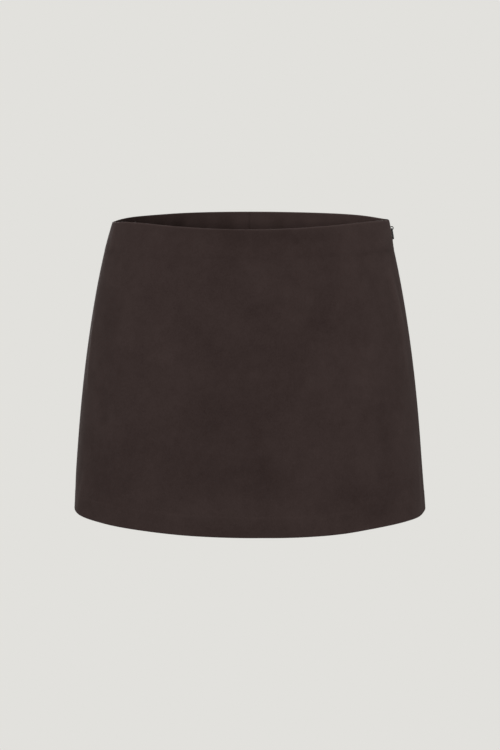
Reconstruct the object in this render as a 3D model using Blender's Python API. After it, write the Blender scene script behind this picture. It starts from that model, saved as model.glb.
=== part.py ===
"""A short A-line suede skort: a skirt with plain shorts sewn inside, closed by an invisible zip at the side.

Metres, +Z up. The origin is the centre of the waist, the front faces -Y, and the zip is at +X, the wearer's left.
The garment hangs filled out, as it is worn. Each piece of cloth is a wall between two grids of points: a column for
each turn round the body, counted from centre front towards the wearer's left, and a row for each drop below the
waist's edge. Tables are in millimetres.
"""

import math
from collections import namedtuple

import bmesh
import bpy
from mathutils import Euler, Matrix, Vector

MM = 0.001

# Driving sizes of the skirt.
LENGTH = 331.0
SUEDE = 1.2
SEAM_GAP = 0.3
HEM_TURN_UP = 22.0
FACING_DEPTH = 34.0

# The waist's edge dips at centre front and at the tops of the side seams, and rises a little at centre back.
FRONT_DIP = 8.5
BACK_RISE = 1.5
LEFT_DIP = 3.5
RIGHT_DIP = 5.5
SIDE_DIP_SHARPNESS = 9
DIP_REACH = 110.0
# The hem is higher at the side seams than in front and behind.
HEM_SIDE_RISE = 3.0

# The invisible zip in the left side seam.
ZIP_LENGTH = 180.0
TAPE = 1.0
TAPE_START = 3.2
TAPE_END = 11.0
CHAIN_START = 15.5
CHAIN_HALF_WIDTH = 2.9
CHAIN = 1.6
# Where the slider comes through, the seam's two edges stand further apart.
SLOT_HALF_WIDTH = 0.95
SLOT_LENGTH = 18.0
SLOT_CLOSING = 8.0

# The slider: a back plate with two rails and a wedge between them, a neck and a round bail.
SLIDER_DROP = 9.8
SLIDER_HALF_LENGTH = 4.5
SLIDER_DEPTH = 2.8
PLATE = 1.0
RAIL = 0.7
WEDGE_HALF_WIDTH = 1.0
WEDGE_START = 0.6
NECK_HALF_WIDTH = 0.55
NECK_HALF_LENGTH = 2.6
NECK_REACH = 0.2
BLOCK_BITE = 0.5
RING_STAND_OFF = 1.35
RING_RADIUS = 1.7
RING_WIRE = 0.5

# The pull's flat teardrop tab, measured down from the bail's centre. It hangs a little in from square to the cloth.
PULL_HALF_THICKNESS = 0.75
PULL_EYE = 0.95
PULL_EYE_EDGE = 1.6
PULL_FOOT = 10.3
PULL_FOOT_EDGE = 2.3
PULL_ROUNDING = 0.2
PULL_HANG = math.radians(1.0)

# The zip pushes the cloth out at the top of its seam.
ZIP_BULGE = 3.1
BULGE_DROP = 36.0
BULGE_HALF_WIDTH = math.radians(28)

# The shorts inside.
JERSEY = 1.0
SHORTS_EASE_AT_TOP = 2.0
CROTCH_DROP = 215.0
CROTCH_CURVE_START = 150.0
SHORTS_LENGTH = 285.0
LEG_GAP = 5.0
LEG_GAP_REACH = 25.0
ZIP_PULL_IN = 45.0
ZIP_END_CLOSING = 12.0

BACK = math.pi
LEFT_SIDE, RIGHT_SIDE = math.pi / 2, -math.pi / 2
PANEL_STEPS = 28
SHORTS_STEPS = 12
SKIRT_ROWS = (0.0, 6.0, 12.0, 18.0, 26.0, FACING_DEPTH, 60.0, 95.0, 135.0, ZIP_LENGTH, 230.0, 275.0, 309.0)
SHORTS_ROWS = (60.0, 95.0, 135.0, ZIP_LENGTH, 197.0, 207.0, 212.0, CROTCH_DROP, 222.0, 250.0, SHORTS_LENGTH)

# Each ring of the skirt: half its width, its depth before and behind the side seams, and how pointed its sides are.
Ring = namedtuple("Ring", "drop side front back point")
SKIRT_RINGS = (
    Ring(0.0, 152.0, 104.5, 105.0, 0.22),
    Ring(35.0, 161.2, 111.5, 114.5, 0.18),
    Ring(90.0, 172.5, 120.5, 126.5, 0.12),
    Ring(150.0, 182.3, 128.0, 135.0, 0.07),
    Ring(210.0, 189.8, 133.0, 138.5, 0.04),
    Ring(270.0, 195.4, 136.5, 140.5, 0.02),
    Ring(LENGTH, 200.0, 139.0, 141.5, 0.00),
)

# How far the shorts stand inside the skirt at the sides, the front and the back.
Ease = namedtuple("Ease", "drop side front back")
SHORTS_EASE = (
    Ease(FACING_DEPTH, SHORTS_EASE_AT_TOP, SHORTS_EASE_AT_TOP, SHORTS_EASE_AT_TOP),
    Ease(60.0, 4.0, 3.5, 4.0),
    Ease(95.0, 7.0, 6.0, 7.0),
    Ease(135.0, 10.0, 9.0, 11.0),
    Ease(ZIP_LENGTH, 14.0, 17.0, 19.0),
    Ease(CROTCH_DROP, 18.0, 28.0, 31.0),
    Ease(250.0, 22.0, 38.0, 41.0),
    Ease(SHORTS_LENGTH, 26.0, 43.0, 46.0),
)

# Soft flutes that hang from the hips: their turn at the hem, how far they swing towards the front above it,
# half their width, where they start, and how far they stand out. Turns are in degrees.
Flute = namedtuple("Flute", "turn swing half_width start height")
FLUTES = (
    Flute(-68.0, 6.0, 15.0, 90.0, 1.6),
    Flute(-34.0, 8.0, 18.0, 150.0, -1.2),
    Flute(6.0, -4.0, 22.0, 120.0, 1.0),
    Flute(42.0, -9.0, 16.0, 110.0, -1.4),
    Flute(67.0, -5.0, 14.0, 70.0, 1.7),
    Flute(118.0, 6.0, 17.0, 120.0, -1.5),
    Flute(152.0, -5.0, 16.0, 140.0, 1.8),
    Flute(203.0, 6.0, 18.0, 110.0, 1.6),
    Flute(238.0, -7.0, 15.0, 130.0, -1.6),
)


def clear_scene():
    for thing in list(bpy.data.objects):
        bpy.data.objects.remove(thing, do_unlink=True)


def finish(name, colour, roughness, metallic=0.0):
    """A plain material of one colour."""
    material = bpy.data.materials.new(name)
    material.use_nodes = True
    shader = material.node_tree.nodes["Principled BSDF"]
    shader.inputs["Base Color"].default_value = (*colour, 1.0)
    shader.inputs["Roughness"].default_value = roughness
    shader.inputs["Metallic"].default_value = metallic
    return material


def add_object(name, mesh, material):
    thing = bpy.data.objects.new(name, mesh)
    bpy.context.scene.collection.objects.link(thing)
    mesh.materials.append(material)
    return thing


def ease_in_out(share):
    share = min(max(share, 0.0), 1.0)
    return share * share * (3 - 2 * share)


def between_rows(table, drop):
    """The table's row at a drop, on a smooth curve through its rows."""
    last = len(table) - 1
    place = next((i for i in range(last) if drop <= table[i + 1].drop), last - 1)
    low, high = table[place], table[place + 1]
    before, after = table[max(place - 1, 0)], table[min(place + 2, last)]
    span = high.drop - low.drop
    share = (drop - low.drop) / span
    values = []
    for here, there, earlier, later in zip(low, high, before, after):
        slope_low = (there - earlier) * span / (high.drop - before.drop)
        slope_high = (later - here) * span / (after.drop - low.drop)
        bend = (slope_low * (1 - share) - slope_high * share) * (1 - share) * share
        blend = ease_in_out(share)
        values.append(here * (1 - blend) + there * blend + bend)
    return type(low)(*values)


def waist_dip(turn):
    """How far the waist's edge lies below its highest level."""
    side = abs(math.sin(turn)) ** SIDE_DIP_SHARPNESS
    dip = side * (LEFT_DIP if math.sin(turn) > 0 else RIGHT_DIP)
    middle = math.cos(turn)
    return dip + middle**2 * (FRONT_DIP if middle > 0 else -BACK_RISE)


def height(turn, drop):
    """The level of a point, where the rows near the waist and the hem follow its edges."""
    fade = max(1 - drop / DIP_REACH, 0.0) ** 2
    return -drop - waist_dip(turn) * fade + HEM_SIDE_RISE * (math.sin(turn) * drop / LENGTH) ** 2


def ring_sweep(ring, turn):
    """Where a ring is at this turn, and its direction there."""
    sine, cosine = math.sin(turn), math.cos(turn)
    depth = ring.front if cosine > 0 else ring.back
    taper = 1 - ring.point * sine**2
    place = Vector((ring.side * sine, -depth * cosine * taper))
    along = Vector((ring.side * cosine, depth * sine * (taper + 2 * ring.point * cosine**2)))
    return place, along


def turn_beside(ring, seam, distance):
    """The turn that lies this far round the ring from a seam."""
    _, along = ring_sweep(ring, seam + math.copysign(1e-4, distance))
    return seam + distance / along.length


def flute_height(turn, drop):
    """How far the hanging folds stand out here."""
    total = 0.0
    for flute in FLUTES:
        share = (drop - flute.start) / (LENGTH - flute.start)
        middle = flute.turn + flute.swing * (1 - share)
        away = (math.degrees(turn) - middle + 180) % 360 - 180
        if share > 0 and abs(away) < flute.half_width:
            swell = math.cos(math.pi / 2 * away / flute.half_width) ** 2
            total += flute.height * ease_in_out(share) * swell
    return total


def zip_bulge(turn, drop):
    """How far the zip pushes the cloth out here."""
    away = abs(turn - LEFT_SIDE) / BULGE_HALF_WIDTH
    return ZIP_BULGE * ease_in_out(1 - drop / BULGE_DROP) * ease_in_out(1 - away)


def skirt_point(turn, drop, inset=0.0):
    """A point of the skirt, inset from its outer face."""
    place, along = ring_sweep(between_rows(SKIRT_RINGS, drop), turn)
    inward = Vector((-along.y, along.x)).normalized()
    place += inward * (inset - flute_height(turn, drop) - zip_bulge(turn, drop))
    return Vector((place.x, place.y, height(turn, drop))) * MM


def cloth_wall(name, outer, inner, material):
    """A closed wall between an outer and an inner grid of points, each a list of columns from top to bottom."""
    shape = bmesh.new()
    sheets = [[[shape.verts.new(point) for point in column] for column in grid] for grid in (outer, inner)]
    columns, rows = len(outer), len(outer[0])
    for sheet, turned in zip(sheets, (False, True)):
        for i in range(columns - 1):
            for j in range(rows - 1):
                corners = [sheet[i][j], sheet[i][j + 1], sheet[i + 1][j + 1], sheet[i + 1][j]]
                shape.faces.new(corners[::-1] if turned else corners)
    outline = [(i, 0) for i in range(columns)] + [(columns - 1, j) for j in range(1, rows)]
    outline += [(i, rows - 1) for i in range(columns - 2, -1, -1)] + [(0, j) for j in range(rows - 2, 0, -1)]
    front, back = sheets
    for (i, j), (k, m) in zip(outline, outline[1:] + outline[:1]):
        shape.faces.new([front[i][j], front[k][m], back[k][m], back[i][j]])
    bmesh.ops.recalc_face_normals(shape, faces=shape.faces)
    mesh = bpy.data.meshes.new(name)
    shape.to_mesh(mesh)
    shape.free()
    mesh.shade_smooth()
    mesh.set_sharp_from_angle(angle=math.radians(40))
    return add_object(name, mesh, material)


def zip_edge(drop):
    """Half the gap between the two cloth edges along the zip, which is wider where the slider comes through."""
    closed = ease_in_out((drop - SLOT_LENGTH) / SLOT_CLOSING)
    return SLOT_HALF_WIDTH + (SEAM_GAP / 2 - SLOT_HALF_WIDTH) * closed


def panel_turns(drop, seams, steps, at_zip):
    """The columns of a panel between two seams. at_zip gives the distances of those beside the zip."""
    ring = between_rows(SKIRT_RINGS, drop)
    ends = [at_zip(drop) if seam == LEFT_SIDE else (SEAM_GAP / 2,) for seam in seams]
    first = [turn_beside(ring, seams[0], distance) for distance in ends[0]]
    last = [turn_beside(ring, seams[1], -distance) for distance in reversed(ends[1])]
    inner = [first[-1] + (last[0] - first[-1]) * i / steps for i in range(1, steps)]
    return first + inner + last


def beside_zip(drop):
    return (zip_edge(drop), TAPE_START, TAPE_END)


def outside_tape(drop):
    return (TAPE_END + SEAM_GAP,)


def hem_path():
    """Drop and the two insets of each row of a skirt panel: down the skirt, round the hem's fold, and up inside."""
    fold = SUEDE + SEAM_GAP / 2
    bottom = LENGTH - fold
    rows = [(drop, 0.0, drop, SUEDE) for drop in (*SKIRT_ROWS, bottom)]
    for angle in (math.radians(45), math.radians(90), math.radians(135)):
        reach, across = math.sin(angle), 1 - math.cos(angle)
        slit = SEAM_GAP / 2
        rows.append((bottom + fold * reach, fold * across, bottom + slit * reach, SUEDE + slit * across))
    inside, outside = SUEDE + SEAM_GAP, 2 * SUEDE + SEAM_GAP
    rows += [(drop, outside, drop, inside) for drop in (bottom, LENGTH - HEM_TURN_UP)]
    return rows


def skirt_panel(name, seams, steps, material):
    outer, inner = [], []
    path = hem_path()
    turns = [panel_turns(min(row[0], LENGTH), seams, steps, beside_zip) for row in path]
    for column in range(len(turns[0])):
        outer.append([skirt_point(turns[j][column], row[0], row[1]) for j, row in enumerate(path)])
        inner.append([skirt_point(turns[j][column], row[2], row[3]) for j, row in enumerate(path)])
    return cloth_wall(name, outer, inner, material)


def strip(name, rows, turns_of, near, thickness, material):
    """A piece that lies on the skirt's inner side, made from the skirt's own points."""
    grids = []
    for inset in (near, near + thickness):
        lines = [[skirt_point(turn, drop, inset) for turn in turns_of(drop)] for drop in rows]
        grids.append([list(column) for column in zip(*lines)])
    return cloth_wall(name, *grids, material)


def facing(name, seams, steps, material):
    rows = [drop for drop in SKIRT_ROWS if drop <= FACING_DEPTH]
    return strip(
        name, rows, lambda drop: panel_turns(drop, seams, steps, outside_tape), SUEDE + SEAM_GAP, SUEDE, material
    )


def zip_strip(name, first_drop, distances, thickness, material):
    """A strip of the zip at these distances from the side seam."""
    rows = [first_drop] + [drop for drop in SKIRT_ROWS if first_drop < drop <= ZIP_LENGTH]

    def turns_of(drop):
        ring = between_rows(SKIRT_RINGS, drop)
        return [turn_beside(ring, LEFT_SIDE, distance) for distance in distances]

    return strip(name, rows, turns_of, SUEDE + SEAM_GAP, thickness, material)


def shorts_point(side, half, share, drop, inset):
    """A point of the shorts. side is 1 on the left and -1 on the right, half is 1 in front and -1 behind, and share
    runs from the centre seam or the inseam to the side seam."""
    ring = between_rows(SKIRT_RINGS, drop)
    ease = between_rows(SHORTS_EASE, drop)
    flank = ring.side - ease.side
    depth = ring.front - ease.front if half > 0 else ring.back - ease.back
    parting = (drop - CROTCH_CURVE_START) / (CROTCH_DROP - CROTCH_CURVE_START)
    crotch = LEG_GAP * ease_in_out((drop - CROTCH_DROP) / LEG_GAP_REACH) + SEAM_GAP / 2
    middle = min(max(parting, 0.0), 1.0) * (flank + crotch) / 2
    radius = flank - middle
    half_ring = Ring(drop, radius, depth, depth, ring.point)

    at_zip = 1 - ease_in_out((drop - ZIP_LENGTH) / ZIP_END_CLOSING) if side > 0 else 0.0
    edge = SEAM_GAP / 2 + (TAPE_END + SEAM_GAP / 2) * at_zip
    start = max(-math.acos(SEAM_GAP / 2 / depth), math.asin((crotch - middle) / radius))
    end = math.acos(edge / (depth * (1 - ring.point)))
    turn = start + (end - start) * share

    place, along = ring_sweep(half_ring, turn)
    place += Vector((-along.y, along.x)).normalized() * inset
    x, y = place.x + middle, place.y
    # Beside the zip the shorts reach out to the tapes that they are sewn to.
    reach = at_zip * (1 - ease_in_out((abs(y) - TAPE_END) / ZIP_PULL_IN)) if x > middle else 0.0
    skirt_x = ring.side * math.sqrt(max(1 - (y / (ring.front * (1 - ring.point))) ** 2, 0.0))
    x += reach * (skirt_x - SHORTS_EASE_AT_TOP - inset - x)
    return Vector((side * x, half * y, height(side * turn if half > 0 else math.pi - side * turn, drop))) * MM


def shorts_panel(name, side, half, material):
    rows = (FACING_DEPTH + SEAM_GAP, *SHORTS_ROWS)
    shares = [i / SHORTS_STEPS for i in range(SHORTS_STEPS + 1)]
    outer, inner = (
        [[shorts_point(side, half, share, drop, inset) for drop in rows] for share in shares]
        for inset in (0.0, JERSEY)
    )
    return cloth_wall(name, outer, inner, material)


def helper(thing):
    """A shape that another one takes in, and that isn't part of the garment itself."""
    thing.hide_render = True
    thing.display_type = "WIRE"
    return thing


def block(name, low, high, bevel, material):
    """A box with rounded edges between two corners."""
    shape = bmesh.new()
    low, high = Vector(low) * MM, Vector(high) * MM
    size = Matrix.Diagonal((*(high - low), 1.0))
    bmesh.ops.create_cube(shape, size=1.0, matrix=Matrix.Translation((low + high) / 2) @ size)
    bmesh.ops.bevel(
        shape, geom=list(shape.edges), offset=bevel * MM, segments=2, profile=0.5, affect="EDGES", clamp_overlap=True
    )
    mesh = bpy.data.meshes.new(name)
    shape.to_mesh(mesh)
    shape.free()
    return add_object(name, mesh, material)


def wire_ring(name, material):
    """The round bail, standing off the cloth in the plane of the side seam."""
    bpy.ops.mesh.primitive_torus_add(
        major_radius=RING_RADIUS * MM, minor_radius=RING_WIRE * MM, major_segments=28, minor_segments=10
    )
    ring = bpy.context.object
    ring.name = name
    ring.data.transform(Matrix.Rotation(math.pi / 2, 4, "X"))
    ring.data.transform(Matrix.Translation((RING_STAND_OFF * MM, 0, 0)))
    ring.data.materials.append(material)
    return ring


def zip_slider(seat, material):
    """The slider behind the seam, its neck through the seam and its bail outside, all one casting."""
    behind = SUEDE + SEAM_GAP
    back = behind + SLIDER_DEPTH
    root = BLOCK_BITE - back
    end, wide = SLIDER_HALF_LENGTH, CHAIN_HALF_WIDTH
    slider = block("zip_slider", (-back, -wide, -end), (PLATE - back, wide, end), 0.3, material)
    neck, neck_end = NECK_HALF_WIDTH, NECK_HALF_LENGTH
    wedge, inner_end = WEDGE_HALF_WIDTH, end - BLOCK_BITE
    parts = [
        wire_ring("bail_ring", material),
        block("neck", (root, -neck, -neck_end), (NECK_REACH, neck, neck_end), 0.2, material),
        block("wedge", (root, -wedge, WEDGE_START), (-behind, wedge, inner_end), 0.2, material),
        block("front_rail", (root, -wide, -inner_end), (-behind, RAIL - wide, inner_end), 0.2, material),
        block("back_rail", (root, wide - RAIL, -inner_end), (-behind, wide, inner_end), 0.2, material),
    ]
    for part in parts:
        part.parent = seat
        joined = slider.modifiers.new("with " + part.name, "BOOLEAN")
        joined.operation = "UNION"
        joined.object = helper(part)
    slider.parent = seat
    return slider


def arc(middle, radius, start, end, steps):
    """Points round part of a circle."""
    angles = [start + (end - start) * i / steps for i in range(steps + 1)]
    return [middle + Vector((math.cos(angle), math.sin(angle))) * radius for angle in angles]


def zip_pull(seat, material):
    """The flat teardrop tab. Its origin is the bail's centre, which it swings about."""
    lean = math.asin((PULL_FOOT_EDGE - PULL_EYE_EDGE) / (PULL_FOOT - RING_RADIUS))
    middle, foot = Vector((0.0, -RING_RADIUS)), Vector((0.0, -PULL_FOOT))
    outline = arc(middle, PULL_EYE_EDGE, -lean, math.pi + lean, 12)
    foot_arc = arc(foot, PULL_FOOT_EDGE, math.pi + lean, 2 * math.pi - lean, 8)
    left = [outline[-1].lerp(foot_arc[0], share) for share in (0.08, 0.2, 0.5)]
    right = [foot_arc[-1].lerp(outline[0], share) for share in (0.5, 0.8, 0.92)]
    outline += left + foot_arc + right

    shape = bmesh.new()
    rims = []
    eye = [middle + (p - middle).normalized() * PULL_EYE for p in outline]
    for face in (PULL_HALF_THICKNESS, -PULL_HALF_THICKNESS):
        rims.append([[shape.verts.new(Vector((face, p.x, p.y)) * MM) for p in loop] for loop in (outline, eye)])
    (outer, hole), (outer_back, hole_back) = rims
    count = len(outline)
    for i in range(count):
        k = (i + 1) % count
        shape.faces.new([outer[i], outer[k], hole[k], hole[i]])
        shape.faces.new([outer_back[k], outer_back[i], hole_back[i], hole_back[k]])
        shape.faces.new([outer[k], outer[i], outer_back[i], outer_back[k]])
        shape.faces.new([hole[i], hole[k], hole_back[k], hole_back[i]])
    bmesh.ops.recalc_face_normals(shape, faces=shape.faces)
    mesh = bpy.data.meshes.new("zip_pull")
    shape.to_mesh(mesh)
    shape.free()
    pull = add_object("zip_pull", mesh, material)
    pull.parent = seat
    pull.location = (RING_STAND_OFF * MM, 0, 0)
    pull.rotation_euler = Euler((0, PULL_HANG, 0))
    rounding = pull.modifiers.new("rounded edges", "BEVEL")
    rounding.width = PULL_ROUNDING * MM
    rounding.segments = 2
    rounding.limit_method = "ANGLE"
    rounding.angle_limit = math.radians(50)
    return pull


def zip_seat():
    """An empty on the side seam's outer face at the slider, turned to the slope of the cloth."""
    above, here, below = (skirt_point(LEFT_SIDE, SLIDER_DROP + step) for step in (-4.0, 0.0, 4.0))
    slope = math.atan2(below.x - above.x, above.z - below.z)
    seat = bpy.data.objects.new("zip_seat", None)
    bpy.context.scene.collection.objects.link(seat)
    seat.location = here
    seat.rotation_euler = Euler((0, -slope, 0))
    return seat


def build():
    clear_scene()
    suede = finish("suede", (0.038, 0.024, 0.021), 0.95)
    jersey = finish("jersey", (0.030, 0.022, 0.020), 0.9)
    tape = finish("zip tape", (0.012, 0.010, 0.010), 0.8)
    chain = finish("zip chain", (0.012, 0.010, 0.010), 0.5)
    metal = finish("black metal", (0.010, 0.009, 0.009), 0.35, 0.6)

    half_steps = PANEL_STEPS // 2
    back_left, back_right = (LEFT_SIDE, BACK), (BACK, RIGHT_SIDE + 2 * math.pi)
    skirt_panel("skirt_front", (RIGHT_SIDE, LEFT_SIDE), PANEL_STEPS, suede)
    skirt_panel("skirt_back_left", back_left, half_steps, suede)
    skirt_panel("skirt_back_right", back_right, half_steps, suede)
    facing("facing_front", (RIGHT_SIDE, LEFT_SIDE), PANEL_STEPS, suede)
    facing("facing_back_left", back_left, half_steps, suede)
    facing("facing_back_right", back_right, half_steps, suede)

    for side, side_name in ((1, "left"), (-1, "right")):
        for half, half_name in ((1, "front"), (-1, "back")):
            shorts_panel(f"shorts_{half_name}_{side_name}", side, half, jersey)

    zip_strip("zip_tape_front", 0.0, (-TAPE_END, -TAPE_START), TAPE, tape)
    zip_strip("zip_tape_back", 0.0, (TAPE_START, TAPE_END), TAPE, tape)
    zip_strip("zip_chain", CHAIN_START, (-CHAIN_HALF_WIDTH, 0.0, CHAIN_HALF_WIDTH), CHAIN, chain)
    seat = zip_seat()
    zip_slider(seat, metal)
    zip_pull(seat, metal)


build()
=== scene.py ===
"""A short suede skort, hanging filled out as it is worn, seen from in front against a plain pale backdrop."""

import math

import bpy
import numpy as np
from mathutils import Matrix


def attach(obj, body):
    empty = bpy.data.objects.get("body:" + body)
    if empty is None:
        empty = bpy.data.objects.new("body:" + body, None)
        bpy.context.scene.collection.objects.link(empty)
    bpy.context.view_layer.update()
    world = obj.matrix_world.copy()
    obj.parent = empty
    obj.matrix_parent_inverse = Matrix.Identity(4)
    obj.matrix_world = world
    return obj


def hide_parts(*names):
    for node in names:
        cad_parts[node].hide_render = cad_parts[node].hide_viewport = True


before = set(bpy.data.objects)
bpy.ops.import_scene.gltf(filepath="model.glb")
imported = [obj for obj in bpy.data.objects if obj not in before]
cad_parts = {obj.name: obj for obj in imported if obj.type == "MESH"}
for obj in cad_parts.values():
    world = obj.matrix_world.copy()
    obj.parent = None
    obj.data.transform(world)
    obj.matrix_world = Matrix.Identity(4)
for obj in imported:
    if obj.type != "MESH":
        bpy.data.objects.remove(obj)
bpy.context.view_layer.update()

# ------------------------------ the camera
# A long lens 1.7 m in front of the skort and a little above its waist, tipped down at it. It takes in the whole
# skort with a margin all round.
CAMERA_PLACE = (0.0008, -1.7, 0.0753)
CAMERA_TIP = 0.14778
LENS = 73.08


def add_object(name, data):
    made = bpy.data.objects.new(name, data)
    bpy.context.scene.collection.objects.link(made)
    return made


camera = add_object("camera", bpy.data.cameras.new("camera"))
camera.data.lens = LENS
camera.location = CAMERA_PLACE
camera.rotation_euler = (math.pi / 2 - CAMERA_TIP, 0, 0)
bpy.context.scene.camera = camera

# ------------------------------ the front
# One piece of dark brown suede, 1.2 mm thick, from side seam to side seam. Its top edge is rolled in to the facing,
# and its hem is turned up 22 mm inside. It hangs from the hips in soft, uneven folds, with painted light on the
# ridges and painted shade in the hollows.

# Sizes are in millimetres, and a drop is measured down from the waist's edge. Turns are in degrees or radians from
# centre front towards the wearer's left.
MM = 0.001
LENGTH = 331.0
SUEDE = 1.2
SEAM_GAP = 0.3
HEM_TURN_UP = 22.0
FACING_DEPTH = 34.0
ZIP_LENGTH = 180.0
LEFT_SIDE, CENTRE_BACK, RIGHT_SIDE = math.pi / 2, math.pi, -math.pi / 2

# Rings of the skirt: drop, half the width, depth before and behind the side seams, how pointed the sides are.
SKIRT_RINGS = (
    (0.0, 152.0, 104.5, 105.0, 0.22),
    (35.0, 161.2, 111.5, 114.5, 0.18),
    (90.0, 172.5, 120.5, 126.5, 0.12),
    (150.0, 182.3, 128.0, 135.0, 0.07),
    (210.0, 189.8, 133.0, 138.5, 0.04),
    (270.0, 195.4, 136.5, 140.5, 0.02),
    (LENGTH, 200.0, 139.0, 141.5, 0.00),
)

# The waist's edge dips in front, at the sides and behind the right hip, and rises at centre back and at the zip.
# These fade out below it. The hem rises a little towards the sides.
FRONT_DIP, BACK_RISE, LEFT_DIP, RIGHT_DIP, SIDE_DIP_SHARPNESS = 8.5, 1.5, 3.5, 5.5, 9
RIGHT_BACK_DIP, RIGHT_BACK_TURN, RIGHT_BACK_WIDTH = 1.0, 229, 17
ZIP_RISE, ZIP_RISE_WIDTH = 0.7, 9
DIP_REACH = 110.0
HEM_SIDE_RISE = 3.0

# How far the hem sags round the left side, by degrees from the left side seam, where the front is negative.
HEM_SAG = (
    (-86, -75, -66, -59, -50, -40, -28, -13, 0, 20, 80),
    (0, 0.9, 1.37, 1.4, 1.1, 1.0, 1.3, 2.5, 2.8, 2.4, 0),
)

# The top of the zip pushes the side out, with a low ridge along the seam where the pull hangs.
ZIP_BULGE, BULGE_DROP, BULGE_HALF_WIDTH = 3.1, 36.0, math.radians(28)
PULL_RIDGE, RIDGE_DROP, RIDGE_REACH, RIDGE_SOFTNESS = 0.38, 20.0, 9.0, math.radians(5)

# Hanging folds: turn at the hem, swing above it, half width in degrees, drop where it starts, height.
FLUTES = (
    (-68, 6, 15, 90, 1.6),
    (-34, 8, 18, 150, -1.2),
    (6, -4, 22, 120, 1.0),
    (42, -9, 16, 110, -1.4),
    (67, -5, 14, 70, 1.7),
    (118, 6, 17, 120, -1.5),
    (152, -5, 16, 140, 1.8),
    (203, 6, 18, 110, 1.6),
    (238, -7, 15, 130, -1.6),
    (-90, 0, 14, 285, -1.1),
    (90, 0, 14, 270, 0.9),
)

# Creases and soft dents: turn and drop where each starts and ends, half width, height, bow. Through its height each
# also paints light on its ridge or shade in its dent.
CREASES = (
    # The fan pulled in by the top of the zip, and the hollow under the facing beside it.
    (89, 10, 60, 19, 4.0, 0.34, 2),
    (89, 22, 55, 29, 4.5, 0.42, -2),
    (89, 17, 66, 25, 2.8, -0.30, 1),
    (88, 39, 40, 37, 4.0, -0.40, -2),
    (82, 48, 62, 60, 5.0, 0.30, 3),
    # The front, towards the wearer's left.
    (63, 40, 73, 140, 8.5, 0.95, 4),
    (50, 44, 57, 122, 9.0, -0.45, -3),
    (37, 32, 8, 176, 15.0, -0.66, 6),
    (58, 118, 34, 188, 16.0, 0.45, -6),
    (47, 188, 50, 306, 16.0, -0.62, 4),
    (74, 262, 71, 330, 6.0, 0.65, 2),
    (26, 262, 54, 322, 20.0, -0.75, -8),
    (69, 26, 71, 210, 8.5, 0.60, -3),
    # The middle of the front.
    (-4, 34, 6, 92, 15.0, 0.50, 6),
    (-44, 9, 34, 14, 11.0, -0.42, 3),
    (3, 8, 42, 13, 8.0, -0.62, -2),
    (12, 20, 42, 46, 14.0, -0.50, 4),
    (-27, 300, 22, 303, 13.0, 0.75, -3),
    (-8, 258, 12, 282, 15.0, -0.35, 5),
    (-24, 78, 8, 140, 16.0, 0.62, 4),
    (24, 316, 60, 322, 12.0, -0.42, 3),
    # The front, towards the wearer's right.
    (-76, 4, -69, 40, 8.0, 0.65, 3),
    (-84, 42, -62, 36, 4.0, -0.35, 2),
    (-78, 52, -56, 72, 6.0, 0.40, -4),
    (-76, 100, -70, 200, 6.5, 1.05, -4),
    (-64, 96, -58, 178, 10.0, -0.35, 4),
    (-50, 82, -43, 146, 14.0, 0.50, -5),
    (-40, 136, -10, 180, 16.0, 0.60, 7),
    (-64, 226, -50, 331, 24.0, -0.55, 4),
    (-65, 262, -74, 331, 6.0, 0.75, 3),
    (-38, 254, -44, 331, 15.0, -0.48, -4),
    (-61, 168, -55, 238, 9.0, -0.50, 3),
    # The back, where it is sat on and lifts under the waist.
    (97, 40, 118, 47, 4.5, -0.45, 3),
    (99, 24, 121, 30, 5.0, 0.40, -2),
    (104, 66, 113, 152, 8.0, 0.70, -5),
    (116, 176, 108, 262, 11.0, -0.55, 6),
    (128, 52, 141, 118, 15.0, 0.55, 6),
    (133, 150, 156, 214, 15.0, -0.60, -8),
    (127, 258, 143, 322, 14.0, 0.60, 5),
    (162, 14, 199, 19, 8.0, -0.45, 4),
    (158, 34, 176, 66, 11.0, 0.50, -5),
    (170, 112, 186, 170, 17.0, -0.65, 7),
    (165, 238, 188, 296, 17.0, 0.55, -7),
    (196, 66, 216, 132, 13.0, 0.60, 6),
    (211, 170, 199, 246, 15.0, -0.60, -7),
    (222, 36, 246, 43, 5.0, -0.45, -3),
    (233, 92, 240, 170, 9.0, 0.65, 4),
    (228, 206, 246, 300, 14.0, 0.55, 8),
    (252, 60, 257, 142, 8.0, -0.50, -4),
    (256, 232, 250, 330, 8.0, 0.60, -3),
    (251, 8, 262, 30, 7.0, 0.45, 2),
)
MM_PER_DEGREE = 2.9

# What lies under the suede shows through it faintly: the facing's lower edge and the top of the turned-up hem.
FACING_SHOWS, HEM_SHOWS = 0.20, 0.22
EDGE_REACH, EDGE_SOFTNESS = 1.5, 3.0

# How light the suede is painted, from 0 to 1: in front, the painted sheen that the sides add, the painted light
# added down the skirt and taken down its sides, and the painted light or shade that each millimetre of a crease
# adds.
# A faint painted highlight follows the hem's ridge, painted shade lies below the facing's edge, and the top edge
# has a painted highlight.
NAP_FRONT, PAINTED_SIDE_SHEEN, PAINTED_LIGHT_DOWN, PAINTED_LIGHT_DOWN_SIDES, PAINTED_CREASE_SHADING = 0.43, 0.14, 0.14, 0.34, 0.31
HEM_RIDGE_HIGHLIGHT, HEM_LINE_WIDTH = 0.06, 1.6
FACING_EDGE_SHADE, FACING_LINE_BELOW, FACING_LINE_WIDTH = 0.03, 3, 2.5
TOP_EDGE_HIGHLIGHT, TOP_EDGE_HIGHLIGHT_WIDTH = 0.6, 1.3


def ease(share):
    """A smooth step from 0 to 1, level at both ends."""
    share = np.clip(share, 0, 1)
    return share * share * (3 - 2 * share)


def bell(away):
    """1 in the middle, fading smoothly to 0 on both sides."""
    return np.exp(-(away**2))


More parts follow.
